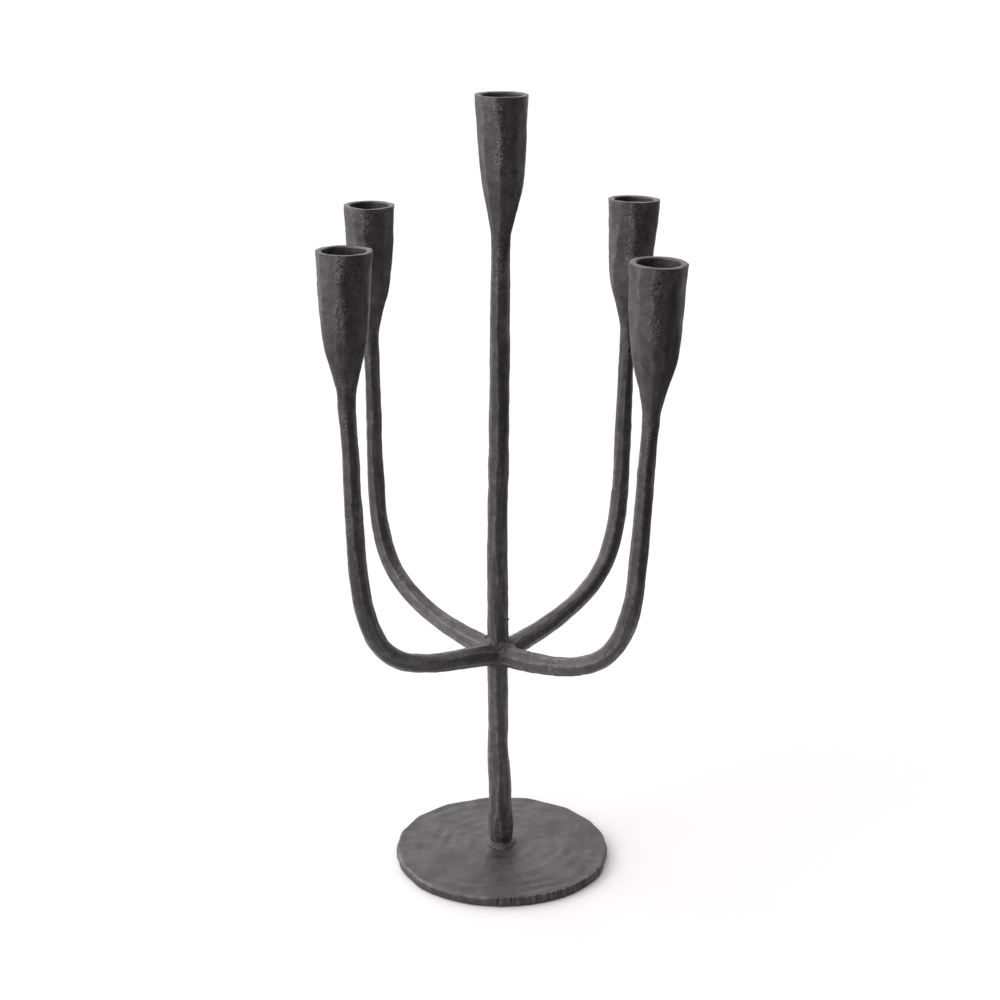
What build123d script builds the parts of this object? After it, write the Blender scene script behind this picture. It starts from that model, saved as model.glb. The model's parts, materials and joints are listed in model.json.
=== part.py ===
"""Five-light candelabrum: a forged stem and four bent arms carry five candle cups over a round base.

Frame: millimetres, +Z up, origin on the table under the centre of the base plate. The front faces -Y.
Every bar is hammered by hand, so its section is an uneven polygon whose corners wander along its length.
Nothing on it moves: the arms are coped and welded to the stem, and the cups are butt-welded to the bars.
"""

import os
from math import cos, pi, radians, sin, tan
from typing import NamedTuple

from build123d import *

# --- Base ----------------------------------------------------------------------------------------
FELT_THICKNESS = 0.5
FELT_RADIUS = 57.0
BASE_RADIUS = 64.3
BASE_THICKNESS = 5.5
BASE_TOP = FELT_THICKNESS + BASE_THICKNESS
BASE_OUTLINE_POINTS = 72
# The flats hammered round the plate's back and sides: azimuth in degrees, and distance from the axis.
BASE_FLATS = [
    (-12, 62.8), (6, 62.6), (22, 62.4), (39, 62.2), (62, 62.2), (87, 62.4),
    (110, 62.1), (133, 62.6), (156, 62.6), (174, 62.6), (192, 62.8), (210, 63.2),
]  # fmt: skip
BASE_TOP_ROUND = 1.4
BASE_BOTTOM_CHAMFER = 0.5

# --- Stem ----------------------------------------------------------------------------------------
HUB_X = -1.2
HUB_HEIGHT = 130.0
STEM_TOP = 369.0
TENON_RADIUS = 4.0
TENON_CLEARANCE = 0.05
TENON_ROOT = 4.0  # how far the tenon's bar runs up inside the stem
STEM_BOW = [
    (BASE_TOP, -0.4), (20, -0.7), (45, -1.2), (62, -2.0), (90, -2.3), (150, -2.3),
    (200, -2.7), (265, -1.6), (325, -1.2), (STEM_TOP, -0.7),
]  # fmt: skip
STEM_DIAMETERS = [
    (BASE_TOP, 10.4), (20, 15.8), (34, 13.4), (62, 13.2), (75, 12.3), (90, 11.6), (125, 12.4),
    (180, 12.0), (240, 11.8), (330, 11.3), (355, 10.9), (STEM_TOP, 10.1),
]  # fmt: skip

# --- Cups ----------------------------------------------------------------------------------------
BORE_RADIUS = 11.5  # takes the usual 22 mm dinner candle
BORE_DEPTH = 24.0
BORE_MOUTH_CHAMFER = 0.6
CUP_SIDES = 10
CUP_STATIONS = 16
# A cup's taper: share of its length below the rim, and share of the way from neck to rim diameter.
CUP_TAPER = [
    (0, 1.0), (0.15, 0.93), (0.3, 0.88), (0.45, 0.79), (0.55, 0.71), (0.62, 0.61), (0.69, 0.47),
    (0.75, 0.33), (0.81, 0.22), (0.88, 0.1), (0.94, 0.03), (1, 0),
]  # fmt: skip

# --- Arms ----------------------------------------------------------------------------------------
BAR_SIDES = 8
BAR_STATION_STEP = 12.0
# An arm's thickness: share of its length from the stem, and share of its nominal diameter.
ARM_TAPER = [
    (0, 1.12), (0.12, 1.05), (0.25, 1.0), (0.45, 1.04), (0.6, 1.0), (0.75, 0.94), (0.9, 0.88), (1, 0.86),
]  # fmt: skip
ARM_DIAMETER = 10.4

# --- Hammered sections ---------------------------------------------------------------------------
CORNER_SHARE = 1.015  # corner radius over mean radius
CORNER_UNEVENNESS = 0.03
CORNER_DRIFT = 0.1  # share of one side's angle
DRIFT_WAVELENGTH = 150.0

# --- Welds ---------------------------------------------------------------------------------------
BEVEL_ANGLE = 30.0
BEVEL_ROOT_RADIUS = 2.6
NECK_WELD_PROUD = 0.25
HUB_WELD_LENGTH = 6.0
HUB_WELD_PROUD = 1.0
HUB_WELD_TOE = 0.3
FOOT_WELD_WIDTH = 4.0
FOOT_WELD_HEIGHT = 3.6
FOOT_WELD_TOE = 1.0


class CupShape(NamedTuple):
    """What differs from cup to cup."""

    rim_diameter: float
    neck_diameter: float
    bow: float  # how far the waist stands off the cup's axis, towards +X
    seed: float


class Branch(NamedTuple):
    """An arm and its cup. Places are (distance from the base's axis, height) in the arm's upright plane."""

    azimuth: float
    controls: tuple  # the arm's curve is drawn towards these, on its way from the hub to the neck
    neck: tuple
    rim: tuple
    cup: CupShape


BRANCHES = {
    "front_left": Branch(
        azimuth=225,
        controls=((58.0, 142.5), (123.7, 136.6), (104.6, 198.1)),
        neck=(113.2, 300.2),
        rim=(112.2, 382.0),
        cup=CupShape(29.7, 9.2, -0.3, 1.0),
    ),
    "front_right": Branch(
        azimuth=315,
        controls=((88.0, 132.7), (106.1, 163.2), (99.8, 198.8)),
        neck=(108.9, 291.5),
        rim=(111.7, 375.7),
        cup=CupShape(30.5, 9.0, 0.8, 2.3),
    ),
    "back_left": Branch(
        azimuth=135,
        controls=((79.8, 132.4), (119.0, 161.0), (104.7, 181.0)),
        neck=(109.4, 297.0),
        rim=(108.4, 377.9),
        cup=CupShape(29.4, 8.8, 0.4, 3.7),
    ),
    "back_right": Branch(
        azimuth=45,
        controls=((73.4, 138.7), (112.2, 159.0), (97.1, 189.7)),
        neck=(105.3, 301.0),
        rim=(108.0, 381.5),
        cup=CupShape(30.2, 9.4, -0.9, 5.2),
    ),
}
CENTRE_RIM = (0.0, 0.0, 450.0)
CENTRE_CUP = CupShape(29.4, STEM_DIAMETERS[-1][1], 1.5, 6.1)


def interpolate(table, at):
    """The value at one place in a table of (place, value) rows."""
    for (low, low_value), (high, high_value) in zip(table, table[1:]):
        if at <= high:
            return low_value + (high_value - low_value) * (at - low) / (high - low)
    return table[-1][1]


def on_branch(branch, place):
    """The point at (distance, height) in a branch's upright plane."""
    distance, height = place
    angle = radians(branch.azimuth)
    return Vector(distance * cos(angle), distance * sin(angle), height)


def hub():
    """Where the arms' centrelines meet, just right of the stem's."""
    return Vector(HUB_X, 0, HUB_HEIGHT)


def stem_axis(height):
    """The stem's centre at a height: it bows a little to the left."""
    return Vector(interpolate(STEM_BOW, height), 0, height)


def hammered_corners(diameter, sides, seed, station):
    """The corners of one uneven polygon, a hammered bar's or cup's section."""
    drift = 2 * pi * station / DRIFT_WAVELENGTH
    corners = []
    for side in range(sides):
        turn = side + CORNER_DRIFT * (sin(2.4 * side + seed) + sin(drift + 1.7 * side + seed))
        reach = diameter / 2 * CORNER_SHARE * (1 + CORNER_UNEVENNESS * sin(1.9 * side + 1.3 * seed + drift))
        angle = 2 * pi * turn / sides
        corners.append((reach * cos(angle), reach * sin(angle)))
    return corners


def neck_plane(neck, rim):
    """The plane across a neck, square to its cup."""
    axis = (rim - neck).normalized()
    return Plane(origin=neck, x_dir=Vector(0, 1, 0).cross(axis), z_dir=axis)


def ring_profile_plane(plane):
    """The plane through another plane's axis, with its own y along that axis."""
    return Plane(origin=plane.origin, x_dir=plane.x_dir, z_dir=-plane.y_dir)


def bevel_height(radius):
    """Half the height of a neck's V-shaped bevel at a radius."""
    return (radius - BEVEL_ROOT_RADIUS) * tan(radians(BEVEL_ANGLE))


def neck_bevel(plane, radius):
    """The V-shaped ring that is left open round the root when both ends at a neck are bevelled."""
    half_height = bevel_height(radius)
    with BuildPart() as bevel:
        with BuildSketch(ring_profile_plane(plane)):
            with BuildLine():
                Polyline((BEVEL_ROOT_RADIUS, 0), (radius, half_height), (radius, -half_height), close=True)
            make_face()
        revolve(axis=Axis(plane.origin, plane.z_dir))
    return bevel.part


def make_stem(neck, bevel):
    """The upright bar, with a swollen foot, a tenon below it and a bevelled top."""
    with BuildPart() as stem:
        steps = round((STEM_TOP - BASE_TOP) / BAR_STATION_STEP)
        for step in range(steps + 1):
            height = BASE_TOP + (STEM_TOP - BASE_TOP) * step / steps
            upward = Vector(0, 0, 1) if step < steps else neck.z_dir
            diameter = interpolate(STEM_DIAMETERS, height)
            corners = hammered_corners(diameter, BAR_SIDES, CENTRE_CUP.seed, height)
            with BuildSketch(Plane(origin=stem_axis(height), x_dir=Vector(1, 0, 0), z_dir=upward)):
                with BuildLine():
                    Polyline(*corners, close=True)
                make_face()
        loft()
        with BuildSketch(Plane.XY.offset(FELT_THICKNESS)):
            Circle(TENON_RADIUS)
        extrude(amount=BASE_THICKNESS + TENON_ROOT)
        add(bevel, mode=Mode.SUBTRACT)
    return stem.part


def quadrant(azimuth):
    """The upright block that holds one arm, cut off at the mitre planes between it and its neighbours."""
    side = 300.0
    across = side / 2 if cos(radians(azimuth)) > 0 else -side / 2
    along = side / 2 if sin(radians(azimuth)) > 0 else -side / 2
    with BuildPart() as block:
        with Locations(hub() + Vector(across, along, 0)):
            Box(side, side, 2 * side)
    return block.part


def make_arm(branch, neck, stem, bevel, block):
    """A bar that leaves the stem almost level and sweeps up to its cup."""
    with BuildLine() as route:
        Bezier(hub(), *[on_branch(branch, place) for place in branch.controls], neck.origin)
    path = route.wire()
    sideways = Vector(-sin(radians(branch.azimuth)), cos(radians(branch.azimuth)), 0)
    with BuildPart() as arm:
        steps = round(path.length / BAR_STATION_STEP)
        for step in range(steps + 1):
            share = step / steps
            along = share * path.length
            onward = path.tangent_at(along, PositionMode.LENGTH) if step < steps else neck.z_dir
            middle = path.position_at(along, PositionMode.LENGTH)
            diameter = ARM_DIAMETER * interpolate(ARM_TAPER, share)
            corners = hammered_corners(diameter, BAR_SIDES, branch.cup.seed, along)
            with BuildSketch(Plane(origin=middle, x_dir=sideways, z_dir=onward)):
                with BuildLine():
                    Polyline(*corners, close=True)
                make_face()
        loft()
        add(stem, mode=Mode.SUBTRACT)
        add(block, mode=Mode.INTERSECT)
        add(bevel, mode=Mode.SUBTRACT)
    return arm.part


def make_hub_weld(branch, stem, arm, block):
    """The collar of weld metal in the corner between one arm and the stem."""
    outward = (on_branch(branch, branch.controls[0]) - hub()).normalized()
    plane = Plane(origin=hub(), z_dir=outward)
    stem_radius = interpolate(STEM_DIAMETERS, HUB_HEIGHT) / 2
    arm_radius = ARM_DIAMETER * ARM_TAPER[0][1] / 2 * CORNER_SHARE
    with BuildPart() as weld:
        with BuildSketch(plane):
            Circle(arm_radius + HUB_WELD_PROUD * 2)
        with BuildSketch(plane.offset(stem_radius + HUB_WELD_LENGTH)):
            Circle(arm_radius + HUB_WELD_TOE)
        loft()
        add(stem, mode=Mode.SUBTRACT)
        add(arm, mode=Mode.SUBTRACT)
        add(block, mode=Mode.INTERSECT)
    return weld.part


def waist(depth_share):
    """How strongly a cup's bow shows at a depth: most a little below half its length."""
    return sin(pi * depth_share**1.4) ** 2


def make_cup(plane, rim, shape, bevel):
    """A tall tapered cup, faceted outside, with a round blind socket for the candle."""
    length = (rim - plane.origin).length
    flare = shape.rim_diameter - shape.neck_diameter
    with BuildPart() as cup:
        for station in reversed(range(CUP_STATIONS + 1)):
            depth_share = station / CUP_STATIONS
            diameter = shape.neck_diameter + flare * interpolate(CUP_TAPER, depth_share)
            corners = hammered_corners(diameter, CUP_SIDES, shape.seed, length * depth_share)
            middle = plane.origin + plane.z_dir * length * (1 - depth_share)
            bowed = middle + Vector(shape.bow * waist(depth_share), 0, 0)
            with BuildSketch(Plane(origin=bowed, x_dir=plane.x_dir, z_dir=plane.z_dir)):
                with BuildLine():
                    Polyline(*corners, close=True)
                make_face()
        loft()
        with Locations(plane.offset(length)):
            Hole(BORE_RADIUS, BORE_DEPTH)
        mouth = cup.edges().filter_by(GeomType.CIRCLE).sort_by(Axis.Z)[-1]
        chamfer(mouth, BORE_MOUTH_CHAMFER)
        add(bevel, mode=Mode.SUBTRACT)
    return cup.part


def make_neck_weld(plane, neck_diameter):
    """The ring of weld metal that fills a neck's bevel, dressed almost flush."""
    radius = neck_diameter / 2
    half_height = bevel_height(radius)
    with BuildPart() as weld:
        with BuildSketch(ring_profile_plane(plane)):
            with BuildLine():
                Polyline(
                    (BEVEL_ROOT_RADIUS, 0),
                    (radius, half_height),
                    (radius + NECK_WELD_PROUD, 0),
                    (radius, -half_height),
                    close=True,
                )
            make_face()
        revolve(axis=Axis(plane.origin, plane.z_dir))
    return weld.part


def base_reach(angle):
    """How far the plate's outline lies from its axis: round at the front, in short flats elsewhere."""
    reach = BASE_RADIUS
    for azimuth, distance in BASE_FLATS:
        facing = cos(angle - radians(azimuth))
        if facing > 0:
            reach = min(reach, distance / facing)
    return reach


def make_base_plate():
    """The heavy round plate, with a hammered outline and a hole for the stem's tenon."""
    outline = []
    for point in range(BASE_OUTLINE_POINTS):
        angle = 2 * pi * point / BASE_OUTLINE_POINTS
        outline.append((base_reach(angle) * cos(angle), base_reach(angle) * sin(angle)))
    with BuildPart() as plate:
        with BuildSketch(Plane.XY.offset(FELT_THICKNESS)):
            with BuildLine():
                Spline(*outline, periodic=True)
            make_face()
        extrude(amount=BASE_THICKNESS)
        fillet(plate.edges().group_by(Axis.Z)[-1], BASE_TOP_ROUND)
        chamfer(plate.edges().group_by(Axis.Z)[0], BASE_BOTTOM_CHAMFER)
        with Locations((0, 0, BASE_TOP)):
            Hole(TENON_RADIUS + TENON_CLEARANCE)
    return plate.part


def make_base_felt():
    """The felt disc glued under the plate."""
    with BuildPart() as felt:
        with BuildSketch():
            Circle(FELT_RADIUS)
        extrude(amount=FELT_THICKNESS)
    return felt.part


def make_foot_weld(stem):
    """The fillet of weld metal that fills the corner under the stem's tapered foot."""
    foot = stem_axis(BASE_TOP)
    low_radius = interpolate(STEM_DIAMETERS, BASE_TOP) / 2
    high_radius = interpolate(STEM_DIAMETERS, BASE_TOP + FOOT_WELD_HEIGHT) / 2
    with BuildPart() as weld:
        with BuildSketch(Plane(foot)):
            Circle(low_radius + FOOT_WELD_WIDTH)
        with BuildSketch(Plane(foot).offset(FOOT_WELD_HEIGHT)):
            Circle(high_radius + FOOT_WELD_TOE)
        loft()
        add(stem, mode=Mode.SUBTRACT)
    return weld.part


def save(part, name):
    """Labels a finished piece and writes it as a STEP file of the same name."""
    part.label = name
    export_step(part, f"parts/{name}.step")


def main():
    os.makedirs("parts", exist_ok=True)

    save(make_base_felt(), "base_felt")
    save(make_base_plate(), "base_plate")

    centre_plane = neck_plane(stem_axis(STEM_TOP), Vector(*CENTRE_RIM))
    centre_bevel = neck_bevel(centre_plane, CENTRE_CUP.neck_diameter)
    stem = make_stem(centre_plane, centre_bevel)
    save(stem, "stem")
    save(make_foot_weld(stem), "foot_weld")

    save(make_cup(centre_plane, Vector(*CENTRE_RIM), CENTRE_CUP, centre_bevel), "cup_centre")
    save(make_neck_weld(centre_plane, CENTRE_CUP.neck_diameter), "neck_weld_centre")

    for name, branch in BRANCHES.items():
        rim = on_branch(branch, branch.rim)
        plane = neck_plane(on_branch(branch, branch.neck), rim)
        bevel = neck_bevel(plane, branch.cup.neck_diameter)
        block = quadrant(branch.azimuth)
        arm = make_arm(branch, plane, stem, bevel, block)
        save(arm, f"arm_{name}")
        save(make_hub_weld(branch, stem, arm, block), f"hub_weld_{name}")
        save(make_cup(plane, rim, branch.cup, bevel), f"cup_{name}")
        save(make_neck_weld(plane, branch.cup.neck_diameter), f"neck_weld_{name}")


main()
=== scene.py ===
"""The candelabrum's looks: hammered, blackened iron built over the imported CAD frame.

Everything is in metres in the CAD frame, +Z up, front towards -Y. Each visible piece is a fine closed mesh
that follows its CAD node: bars and cups are swept rings with hammer flats cut into them, the plate is a
rippled disc of rings, and welds are lumpy fillets.
"""

import json
from math import cos, pi, radians, sin

import bpy
import numpy as np
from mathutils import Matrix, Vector
from mathutils.bvhtree import BVHTree


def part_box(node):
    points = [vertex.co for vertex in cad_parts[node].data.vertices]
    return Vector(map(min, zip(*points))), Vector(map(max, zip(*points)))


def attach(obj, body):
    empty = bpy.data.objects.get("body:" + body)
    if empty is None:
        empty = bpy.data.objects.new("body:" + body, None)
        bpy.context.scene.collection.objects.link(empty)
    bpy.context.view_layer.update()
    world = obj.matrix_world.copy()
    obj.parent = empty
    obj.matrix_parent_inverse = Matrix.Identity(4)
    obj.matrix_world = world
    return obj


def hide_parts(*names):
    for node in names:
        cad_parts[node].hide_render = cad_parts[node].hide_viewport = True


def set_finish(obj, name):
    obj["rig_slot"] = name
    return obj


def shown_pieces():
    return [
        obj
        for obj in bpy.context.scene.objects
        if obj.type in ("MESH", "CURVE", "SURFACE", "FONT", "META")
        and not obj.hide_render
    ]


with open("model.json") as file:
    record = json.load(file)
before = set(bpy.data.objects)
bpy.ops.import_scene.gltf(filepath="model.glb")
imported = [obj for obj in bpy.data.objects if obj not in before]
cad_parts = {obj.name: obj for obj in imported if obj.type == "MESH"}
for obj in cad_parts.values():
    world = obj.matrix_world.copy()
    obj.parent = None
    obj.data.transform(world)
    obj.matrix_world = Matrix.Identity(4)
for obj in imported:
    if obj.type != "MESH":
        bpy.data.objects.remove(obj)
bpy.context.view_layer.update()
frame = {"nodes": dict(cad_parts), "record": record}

MM = 0.001
BRANCHES = ["front_left", "front_right", "back_left", "back_right"]
# The first noise seed of each kind of piece, and the step from one piece to the next.
SEEDS = {"stem": (11, 0), "arm": (101, 13), "cup": (211, 7), "neck_weld": (301, 11)}

# --- How finely the pieces are built ---------------------------------------------------------------
BAR_STEP = 0.6 * MM
BAR_AROUND = 76
CUP_STEP = 0.45 * MM
CUP_AROUND = 180
BASE_AROUND = 840
BASE_RINGS = 90
WELD_CELL = 0.4 * MM
FELT_AROUND = 260

# --- How the CAD is felt ---------------------------------------------------------------------------
PROBE_STEP = 4 * MM
PROBE_RAYS = 24
STEM_REACH = 16 * MM  # rays start this far out from a centreline, clear of the metal
ARM_REACH = 12 * MM
CUP_REACH = 24 * MM
PLATE_REACH = 90 * MM
CUP_CLEAR = 2.5 * MM  # a cup is felt only this far above its neck, clear of the bevel
CUP_TOP_CLEAR = 0.8 * MM
HUB_CLEAR = 13 * MM  # an arm is felt only this far out from the stem's middle, clear of the hub
HUB_RUN_IN = 10 * MM  # an arm runs straight on inwards for this length after that

# --- How the iron was worked -----------------------------------------------------------------------
MAIN_RIDGE_FACING = (-0.12, -1.0, 0.45)
# How many long flats, how deep they are as a share of the radius, and how long a single blow's mark is.
BAR_HAMMERING = (7, 0.062, 13 * MM)
CUP_HAMMERING = (9, 0.05, 20 * MM)
BLOWS = 3.2  # single blows in each blow's length
BAR_RIDGE_HEIGHT = 0.05 * MM  # a ridge this far proud of its surroundings is fully worn
CUP_RIDGE_HEIGHT = 0.08 * MM
UNHAMMERED = 1.012  # the round left between flats, as a share of the felt radius
FLAT_SHARPNESS = 55  # higher for crisper corners between flats
FLAT_TURN = 1.35  # the widest angle from a flat's middle where its plane is worked out
NECK_FADE = 8 * MM  # flats fade out this close to a neck
NECK_TAPER = 10 * MM  # a bar is drawn in to the cup's neck over this length
RIM_FADE = 14 * MM  # a cup's flats are softer this close to its rim
RIM_SOFTENING = 0.3
RIDGE_WANDER = 0.16  # how far a cup's main ridge strays, in radians
HUB_SWELL = 0.13  # how much an arm thickens where it is worked into the stem
HUB_SWELL_REACH = 34 * MM
LIP_ROUND = 0.75 * MM  # how far in from its edges a lip is rounded, and how far down
LIP_DROP = 0.7 * MM
LIP_SHARES = [0.02, 0.07, 0.15, *np.linspace(0.25, 0.8, 7), 0.88, 0.95, 1.0]  # from the outer edge inwards
SOCKET_STEP = 1.0 * MM
SOCKET_FLOOR_SHARES = (0.97, 0.8, 0.55, 0.3, 0.1)
# Where the plate's edge is chiselled, and where it is rubbed and painted with a highlight on the side facing
# the key light: first and last angle, and the fade at each, in degrees.
CHISELLED = (-100, 0, 5, 30)
RUBBED_AND_PAINTED_HIGHLIGHT = (-180, -95, 15, 5)
FIRST_CUT = radians(-98)
CUT_RADIUS = 64 * MM  # the plate's radius, near enough to space the cuts
RIPPLE_WIDTH = 8.5 * MM
# The felt's section: shares of its radius and of its height, from the middle of its top round.
FELT_TOP = [(0.1, 1), (0.5, 1), (0.95, 1), (0.995, 0.97), (1, 0.7)]
FELT_PROFILE = [*FELT_TOP, *((share, 1 - level) for share, level in reversed(FELT_TOP))]
LUMP_MELT = 0.8 * MM  # how softly a lump of weld runs into the rest
HUB_WELD_BOX = (21, 21, 18)  # half the size of each weld's grid, in millimetres
FOOT_WELD_BOX = (15, 15, 7)
NECK_WELD_BOX = (7, 7, 5)

# --- Colours, studio and camera --------------------------------------------------------------------
# The iron's colours at a tone of 1: dark and light scale, the brown in its hollows, and bare metal.
SCALE_DARK = (0.0206, 0.0181, 0.0196)
SCALE_LIGHT = (0.0580, 0.0508, 0.0545)
SCALE_BROWN = (0.0480, 0.0370, 0.0350)
BARE_METAL = (0.205, 0.195, 0.200)
FELT_DARK = (0.006, 0.006, 0.007, 1)
FELT_LIGHT = (0.03, 0.03, 0.033, 1)
FLOOR_RADIUS = 0.3
FLOOR_SIDES = 96
FLOOR_GREY = 0.74
STUDIO_TINT = (1.0, 0.968, 0.982)
STUDIO_MIDDLE = (0, 0, 0.22)
# The two soft lights: their place, size and power in watts.
SOFT_LIGHTS = {
    "key_left": ((-1.4, -0.75, 0.8), 0.9, 8),
    "fill_front": ((-0.5, -1.5, 0.7), 1.2, 4),
}
# Parts of the studio's dome: the way they lie, how far they spread (radians) and how bright they are.
DOME_LIGHTS = [
    ((-0.35, 0.3, 0.9), radians(75), 1.85),
    ((-1.0, -0.25, 0.25), radians(60), 1.6),
    ((-0.5, 1.0, 0.1), radians(60), 1.0),
    ((1.0, 0.9, 0.1), radians(42), 1.1),
]
DOME_GLOW = 0.065
WHITE_TO_CAMERA = 1.1
# The photograph's camera, as fitted to the base's ellipse and the five rims.
CAMERA_PLACE = (-1.118 * MM, -1056.7 * MM, 574.2 * MM)
CAMERA_TILT = radians(71.65)
CAMERA_LENS = 70.85
CAMERA_SENSOR = 36

# --- Noise -----------------------------------------------------------------------------------------
LATTICE_SIDE = 48
LATTICE = np.random.default_rng(71).uniform(-1, 1, (LATTICE_SIDE,) * 3)


def unit(vectors):
    """Vectors scaled to length 1."""
    vectors = np.asarray(vectors, float)
    return vectors / np.maximum(np.linalg.norm(vectors, axis=-1, keepdims=True), 1e-12)


def noise(points, size, seed=0):
    """Smooth random values from -1 to 1, one for each point, that change over about one size."""
    places = np.asarray(points, float) / size + 7.3 * seed
    cell = np.floor(places).astype(int)
    part = places - cell
    part = part * part * (3 - 2 * part)
    total = np.zeros(places.shape[:-1])
    for corner in np.ndindex(2, 2, 2):
        weight = np.prod(np.where(corner, part, 1 - part), axis=-1)
        index = (cell + corner) % LATTICE_SIDE
        total += weight * LATTICE[index[..., 0], index[..., 1], index[..., 2]]
    return total


def wander(places, size, seed):
    """Smooth random values from -1 to 1 along a line, away from the lattice's own planes."""
    places = np.asarray(places, float)
    beside = np.full_like(places, 0.37 * size)
    above = np.full_like(places, 0.61 * size)
    return noise(np.stack([places, beside, above], -1), size, seed)


def seed_for(kind, index=0):
    """The noise seed of one piece of a kind."""
    first, step = SEEDS[kind]
    return first + step * index


def smooth_line(values, width):
    """A row of values blurred over a number of samples, its ends held."""
    half = max(1, int(width))
    weights = np.hanning(2 * half + 3)[1:-1]
    weights /= weights.sum()
    lead = 2 * values[:1] - values[half:0:-1]
    tail = 2 * values[-1:] - values[-2:-half - 2:-1]
    padded = np.concatenate([lead, values, tail])
    return np.stack([np.convolve(padded[:, k], weights, "valid") for k in range(values.shape[1])], 1)


# --- Reading the CAD frame -------------------------------------------------------------------------
def cad_tree(node):
    """A ray-casting tree of one CAD node."""
    mesh = frame["nodes"][node].data
    return BVHTree.FromPolygons([v.co for v in mesh.vertices], [p.vertices for p in mesh.polygons])


def cad_points(node):
    """The corners of one CAD node's mesh."""
    return np.array([v.co for v in frame["nodes"][node].data.vertices], float)


def socket_mount(name):
    """The record's mount for a cup's socket."""
    return next(m for m in frame["record"]["mounts"] if m["name"] == f"candle_socket_{name}")


def socket(name):
    """The middle of a cup's rim, its axis, the cup's length and the socket's radius."""
    mount = socket_mount(name)
    axis = unit(mount["axis"])
    points = cad_points(f"cup_{name}")
    along = (points - mount["pos_m"]) @ axis
    rim = np.array(mount["pos_m"]) + axis * along.max()
    return rim, axis, along.max() - along.min(), mount["dims"]["r_mm"] * MM


def probe(tree, centre, heading, reach):
    """The middle of a CAD node's section across a heading, and the radius of a circle of the same girth.

    None where too few rays meet the node.
    """
    side = unit(np.cross(heading, [0.3, 0.9, 0.1]))
    other = np.cross(heading, side)
    hits = []
    for ray in range(PROBE_RAYS):
        angle = 2 * pi * ray / PROBE_RAYS
        outward = side * cos(angle) + other * sin(angle)
        hit = tree.ray_cast(Vector(centre + outward * reach), Vector(-outward), reach)
        if hit[0] is not None:
            hits.append(hit[0])
    if len(hits) < PROBE_RAYS * 0.8:
        return None
    hits = np.array(hits)
    girth = np.linalg.norm(hits - np.roll(hits, 1, axis=0), axis=1).sum()
    return hits.mean(0), girth / (2 * pi)


def trace(node, start, heading, reach, stop):
    """A bar's centreline and radii, felt step by step along its CAD node until stop(point) is true."""
    tree = cad_tree(node)
    line = [np.array(start, float)]
    girth = []
    heading = unit(heading)
    while not stop(line[-1]):
        ahead = line[-1] + heading * PROBE_STEP
        found = probe(tree, ahead, heading, reach)
        if found is None:
            break
        middle = found[0] - heading * np.dot(found[0] - ahead, heading)
        heading = unit(middle - line[-1])
        line.append(middle)
        girth.append(found[1])
    return np.array(line), np.array(girth[:1] + girth)


def resample(line, girth):
    """A centreline and its radii at a bar's own finer step, and each ring's place along the line."""
    lengths = np.concatenate([[0], np.cumsum(np.linalg.norm(np.diff(line, axis=0), axis=1))])
    places = np.linspace(0, lengths[-1], int(lengths[-1] / BAR_STEP) + 1)
    fine = np.stack([np.interp(places, lengths, line[:, k]) for k in range(3)], 1)
    radius = np.interp(places, lengths, girth)
    width = PROBE_STEP / BAR_STEP
    return smooth_line(fine, width * 1.5), smooth_line(radius[:, None], width)[:, 0], places


def ring_at(distance):
    """The number of the ring that is a distance along a bar."""
    return round(distance / BAR_STEP)


# --- Meshes ----------------------------------------------------------------------------------------
def tube_faces(rings, around):
    """Faces of a closed tube of rings, with its first and last vertices as the middles of its two ends."""
    ring, step = np.meshgrid(np.arange(rings - 1), np.arange(around), indexing="ij")
    a = 1 + ring * around + step
    b = 1 + ring * around + (step + 1) % around
    walls = np.stack([a, b, b + around, a + around], -1).reshape(-1, 4).tolist()
    turn = np.arange(around)
    following = (turn + 1) % around
    first = np.stack([np.zeros(around, int), 1 + following, 1 + turn], -1).tolist()
    base = 1 + (rings - 1) * around
    last = np.stack([np.full(around, base + around), base + turn, base + following], -1).tolist()
    return first + walls + last


def make_piece(name, vertices, faces, wear_and_painted_highlight, pitted, nodes, slot):
    """Makes a smooth piece that stands for its CAD nodes and carries each point's wear, with any painted
    highlight, and pitting.
    """
    mesh = bpy.data.meshes.new(name)
    mesh.from_pydata(vertices.tolist(), [], faces)
    mesh.polygons.foreach_set("use_smooth", np.ones(len(mesh.polygons), bool))
    for label, values in (("wear_and_painted_highlight", wear_and_painted_highlight), ("pitted", pitted)):
        attribute = mesh.attributes.new(label, "FLOAT", "POINT")
        attribute.data.foreach_set("value", values.astype(np.float32))
    mesh.update()
    piece = bpy.data.objects.new(name, mesh)
    bpy.context.scene.collection.objects.link(piece)
    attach(piece, "root")
    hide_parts(*nodes)
    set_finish(piece, slot)


def blur(grid, reach):
    """A grid of values averaged over its neighbours: ends held along, wrapped around."""
    total = np.zeros_like(grid)
    for step in range(-reach, reach + 1):
        total += np.roll(grid, step, axis=1)
    total /= 2 * reach + 1
    padded = np.pad(total, ((reach, reach), (0, 0)), mode="edge")
    summed = np.cumsum(np.pad(padded, ((1, 0), (0, 0))), axis=0)
    return (summed[2 * reach + 1:] - summed[:-2 * reach - 1]) / (2 * reach + 1)


def ridge_wear(radii, height):
    """From 0 to 1, how far each point of a grid stands proud of the two points each way."""
    return np.clip((radii - blur(radii, 2)) / height, 0, 1)


# --- Hammering -------------------------------------------------------------------------------------
def soft_lowest(layers, sharpness):
    """The lowest of several surfaces, with a small round where two of them meet."""
    lowest = np.minimum.reduce(layers)
    total = sum((lowest / layer) ** sharpness for layer in layers)
    return lowest * total ** (-1 / sharpness)


def flat(angles, distance, facing):
    """A surface cut by a plane that faces one way at each place, as a radius from the centreline."""
    turn = (angles[None, :] - facing[:, None] + pi) % (2 * pi) - pi
    return distance[:, None] / np.cos(np.clip(turn, -FLAT_TURN, FLAT_TURN))


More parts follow.
